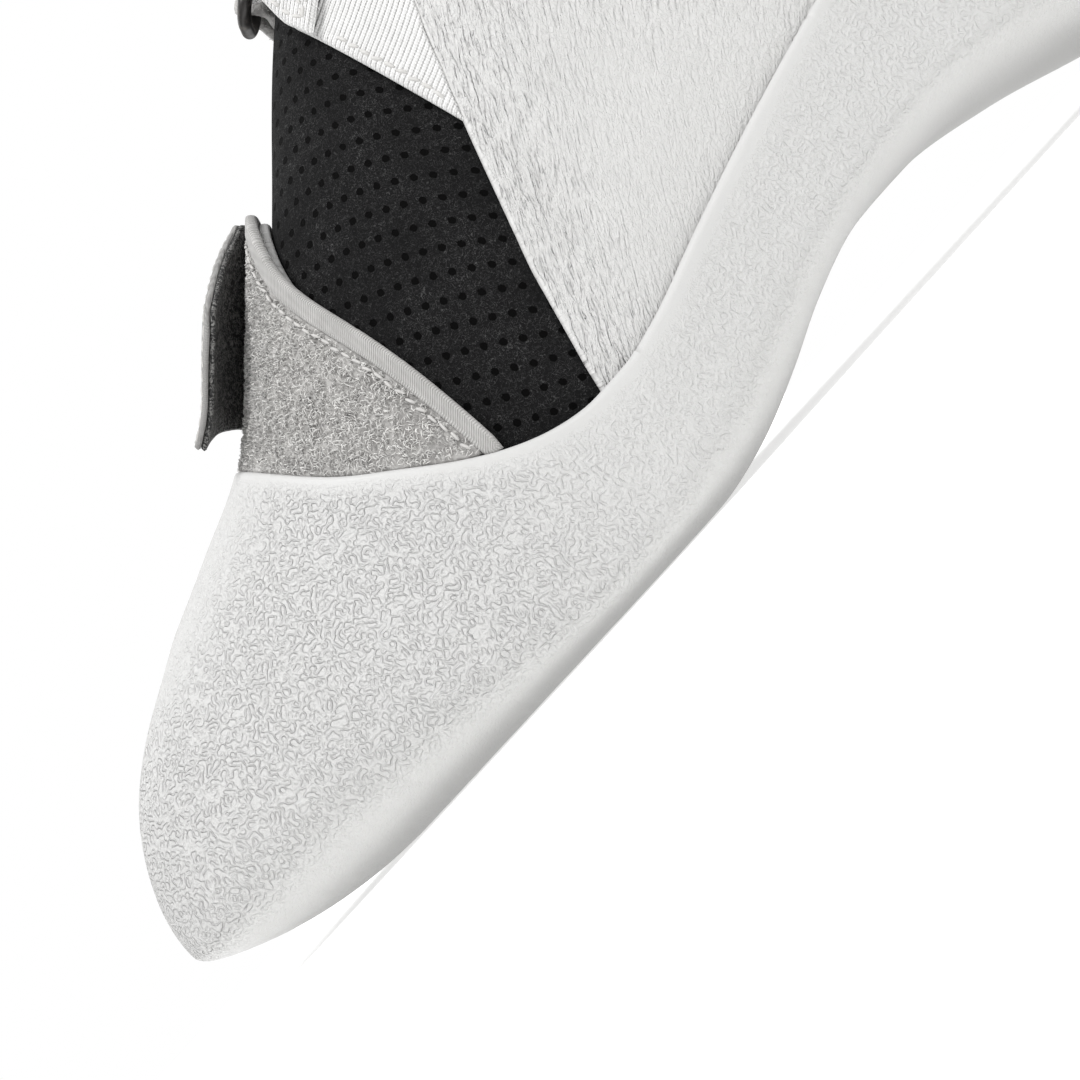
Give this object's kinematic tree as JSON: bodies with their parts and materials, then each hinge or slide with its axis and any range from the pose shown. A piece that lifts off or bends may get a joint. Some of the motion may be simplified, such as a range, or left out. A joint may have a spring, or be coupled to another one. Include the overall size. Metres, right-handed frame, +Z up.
{
  "type": "climbing shoe",
  "caption": "Right climbing shoe: moulded rubber shell over a soft lasted upper with perforated throat panel, hook strap and webbing strap on a wire loop.",
  "frame": {"origin": "middle of the shoe's own box in plan, on the floor it stands on", "axes": "+Y to the toe, +Z up, +X to the outside of the right foot"},
  "size_m": [0.0876, 0.2504, 0.1132],
  "materials": {
    "moulded_rubber": "matte grained",
    "white_microfibre": "soft satin",
    "black_perforated_suede": "matte nap",
    "insole_felt": "matte",
    "grey_loop_pile": "matte pile",
    "grosgrain_tape": "matte ribbed",
    "grey_hook_tape": "matte",
    "ribbed_webbing": "matte ribbed",
    "black_coated_wire": "satin"
  },
  "bodies": {
    "root": {"rubber_shell": "moulded_rubber", "upper": "white_microfibre", "tongue": "black_perforated_suede", "insole": "insole_felt", "pile_patch": "grey_loop_pile", "vamp_binding": "grosgrain_tape", "lower_strap": "grey_hook_tape", "webbing_loop": "ribbed_webbing", "upper_strap": "grey_loop_pile", "strap_ring": "black_coated_wire"}
  },
  "joints": []
}
